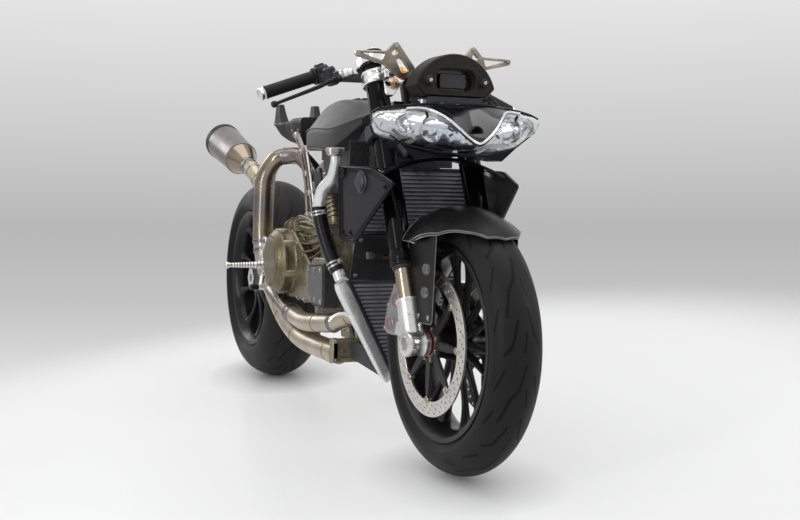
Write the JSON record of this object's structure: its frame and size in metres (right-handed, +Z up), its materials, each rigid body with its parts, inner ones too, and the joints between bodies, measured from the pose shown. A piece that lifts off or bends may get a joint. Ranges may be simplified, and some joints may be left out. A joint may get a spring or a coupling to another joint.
{
  "type": "sport motorcycle",
  "caption": "Unfaired sport motorcycle on its side stand, with a steering fork, turning wheels and a folding stand.",
  "frame": {"origin": "centre of the bottom face of the bounding box at rest, on the floor that the tyres and the stand's foot rest on", "axes": "-Y towards the front wheel, +X towards the rider's left, +Z up; the machine leans 8 degrees to +X on its side stand"},
  "size_m": [0.709, 2.0624, 0.9957],
  "materials": {
    "bright_alloy": "bright welded alloy",
    "bronze_cast": "bronze painted casting",
    "caliper_grey": "hard anodised grey",
    "cast_grey": "sand cast",
    "chain_steel": "oiled steel",
    "core_black": "black radiator core",
    "dash_bronze": "ribbed bronze black",
    "disc_steel": "ground steel",
    "fork_gold": "gold nitrided",
    "gloss_black": "gloss black",
    "gloss_shroud": "gloss black moulding",
    "grip_rubber": "ribbed rubber",
    "hose_rubber": "smooth black hose",
    "lamp_clear": "clear lamp over bright reflectors",
    "machined_alloy": "machined, clear anodised",
    "matt_carbon": "matt woven carbon",
    "panel_grey": "satin dark grey",
    "satin_black": "satin black",
    "spring_black": "coated steel",
    "stay_bronze": "champagne cast",
    "tank_dark": "matt dark grey",
    "titanium": "heat tinted titanium",
    "tyre": "matt moulded rubber",
    "wheel_black": "satin anthracite"
  },
  "bodies": {
    "frame": {"crankcase": "bronze_cast", "sump": "bronze_cast", "engine_covers": "bronze_cast", "cylinders": "cast_grey", "monocoque": "cast_grey", "steering_head": "satin_black", "fuel_tank": "tank_dark", "tail_frame": "tank_dark", "frame_struts": "cast_grey", "radiators": "core_black", "end_tanks": "bright_alloy", "side_panels": "panel_grey", "duct": "gloss_shroud", "headlight": "lamp_clear", "undertray": "gloss_shroud", "dash": "dash_bronze", "cockpit_stays": "stay_bronze", "exhaust_pipes": "titanium", "silencer": "titanium", "coolant_hose": "hose_rubber", "rearsets": "machined_alloy", "swingarm": "satin_black", "shock": "spring_black", "rear_caliper": "caliper_grey", "chain": "chain_steel", "stand_bracket": "satin_black"},
    "steering": {"fork_outers": "gloss_black", "fork_inners": "fork_gold", "fork_feet": "machined_alloy", "front_axle": "machined_alloy", "calipers": "caliper_grey", "triple_clamps": "machined_alloy", "clip_ons": "satin_black", "grips": "grip_rubber", "levers": "satin_black", "fender": "matt_carbon"},
    "front_wheel": {"front_tyre": "tyre", "front_rim": "wheel_black", "front_discs": "disc_steel"},
    "rear_wheel": {"rear_tyre": "tyre", "rear_rim": "wheel_black", "rear_disc": "disc_steel", "rear_sprocket": "machined_alloy", "rear_axle": "machined_alloy"},
    "side_stand": {"side_stand": "satin_black"}
  },
  "joints": [
    {"name": "steering", "type": "hinge", "parent": "frame", "child": "steering", "pos_m": [0.00655, -0.44979, 0.85073], "axis": [0.1271, 0.4067, 0.9047], "range_deg": [-30, 24]},
    {"name": "front_wheel_spin", "type": "hinge", "parent": "steering", "child": "front_wheel", "pos_m": [-0.06875, -0.73162, 0.30268], "axis": [0.9859, 0.0478, -0.1601], "continuous": true},
    {"name": "rear_wheel_spin", "type": "hinge", "parent": "frame", "child": "rear_wheel", "pos_m": [-0.06749, 0.70534, 0.32387], "axis": [0.9903, 0, -0.1392], "continuous": true},
    {"name": "side_stand_fold", "type": "hinge", "parent": "frame", "child": "side_stand", "pos_m": [0.06027, 0.04684, 0.24139], "axis": [0.9905, 0.1304, -0.0432], "range_deg": [0, 115]}
  ]
}
